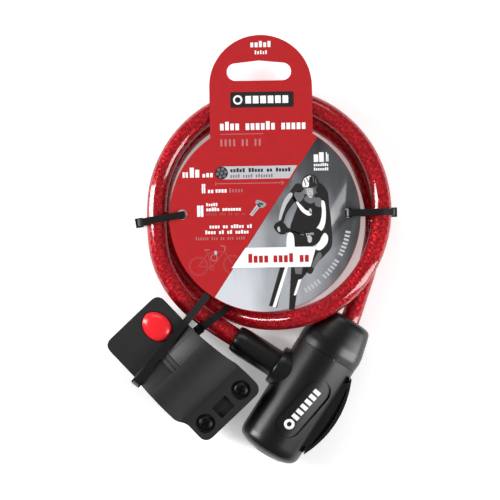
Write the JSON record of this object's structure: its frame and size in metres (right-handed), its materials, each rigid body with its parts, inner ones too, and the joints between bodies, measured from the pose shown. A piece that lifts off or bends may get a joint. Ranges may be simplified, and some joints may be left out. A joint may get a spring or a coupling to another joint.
{
  "type": "bicycle cable lock with key",
  "caption": "Coiled red cable lock with a T-shaped key lock head, a frame bracket with release button, spare keys and a hanging header card, tied together as sold.",
  "frame": {"origin": "centre of the pack's footprint, on the surface that it lies on", "axes": "+X across the header card to its right, +Y up the card towards its hang hole, +Z out of the card's front"},
  "size_m": [0.176, 0.2612, 0.0412],
  "materials": {
    "black_plastic": "satin moulded plastic",
    "bracket_plastic": "fine textured moulded plastic",
    "badge_rubber": "smooth printed pad",
    "button_red": "gloss",
    "cable_sheath": "clear red sheath over braided steel wire",
    "steel": "bright zinc plated",
    "black_steel": "black oxide",
    "brass": "machined",
    "rubber": "matte",
    "card_stock": "printed and coated card",
    "nylon": "smooth nylon"
  },
  "bodies": {
    "pack": {"card": "card_stock", "tie_left": "nylon", "tie_right": "nylon", "tie_bracket": "nylon", "tie_cable": "nylon", "cable": "cable_sheath", "plug_sleeve": "black_plastic", "plug_bolt": "steel", "bracket_front": "bracket_plastic", "tube_pad_front": "rubber", "tongue_receiver": "bracket_plastic", "button_spring": "steel"},
    "lock_head": {"lock_body_shell": "black_plastic", "lock_end_cap": "black_plastic", "label_badge": "badge_rubber", "keyhole_bezel": "steel", "cylinder_housing": "brass", "latch_guide": "black_plastic", "latch_spring": "steel", "port_liner": "steel", "cable_anchor": "steel", "anchor_pin": "steel", "mount_tongue": "black_plastic", "cable_tail": "cable_sheath"},
    "rotor": {"key_rotor": "brass", "rotor_wafer_1": "brass", "rotor_wafer_2": "brass", "rotor_wafer_3": "brass", "rotor_wafer_4": "brass", "rotor_wafer_5": "brass", "rotor_cam": "steel"},
    "latch": {"latch_plate": "steel"},
    "jaw": {"bracket_rear_jaw": "bracket_plastic", "tube_pad_rear": "rubber", "clamp_nut_1": "steel", "clamp_nut_2": "steel"},
    "screw_1": {"clamp_screw_1": "black_steel"},
    "screw_2": {"clamp_screw_2": "black_steel"},
    "button": {"release_button": "button_red", "release_catch": "steel"},
    "key_1": {"key_1_bow": "black_plastic", "key_1_blade": "steel"},
    "key_2": {"key_2_bow": "black_plastic", "key_2_blade": "steel"}
  },
  "joints": [
    {"name": "plug_release", "type": "slide", "parent": "pack", "child": "lock_head", "axis": [0.8441, -0.5361, 0], "range_m": [0, 0.024]},
    {"name": "key_turn", "type": "hinge", "parent": "lock_head", "child": "rotor", "pos_m": [0.00609, -0.12397, 0.01571], "axis": [-0.5361, -0.8441, 0], "range_deg": [0, 90]},
    {"name": "latch_raise", "type": "slide", "parent": "lock_head", "child": "latch", "axis": [0, 0, 1], "range_m": [0, 0.0026], "deforming": ["latch_spring"]},
    {"name": "clamp_open", "type": "slide", "parent": "pack", "child": "jaw", "axis": [0, 0, -1], "range_m": [0, 0.003]},
    {"name": "screw_1_turn", "type": "hinge", "parent": "pack", "child": "screw_1", "pos_m": [-0.02904, -0.10418, 0.02992], "axis": [0, 0, 1], "range_deg": [0, 1543]},
    {"name": "screw_2_turn", "type": "hinge", "parent": "pack", "child": "screw_2", "pos_m": [-0.00783, -0.08398, 0.02992], "axis": [0, 0, 1], "range_deg": [0, 1543]},
    {"name": "button_press", "type": "slide", "parent": "pack", "child": "button", "axis": [0, 0, -1], "range_m": [0, 0.0025], "stiffness_N_per_m": 400, "springref_m": -0.001, "deforming": ["button_spring"]},
    {"name": "key_1_swing", "type": "hinge", "parent": "pack", "child": "key_1", "pos_m": [0.05689, 0.02283, 0.00292], "axis": [0, 0, 1], "range_deg": [-35, 50]},
    {"name": "key_2_swing", "type": "hinge", "parent": "pack", "child": "key_2", "pos_m": [0.05689, 0.02283, 0.00792], "axis": [0, 0, 1], "range_deg": [-50, 28]}
  ],
  "couplings": [
    {"joint": "latch_raise", "follows": "key_turn", "m_per_rad": 0.001655},
    {"joint": "screw_1_turn", "follows": "clamp_open", "rad_per_m": 8976},
    {"joint": "screw_2_turn", "follows": "clamp_open", "rad_per_m": 8976}
  ]
}
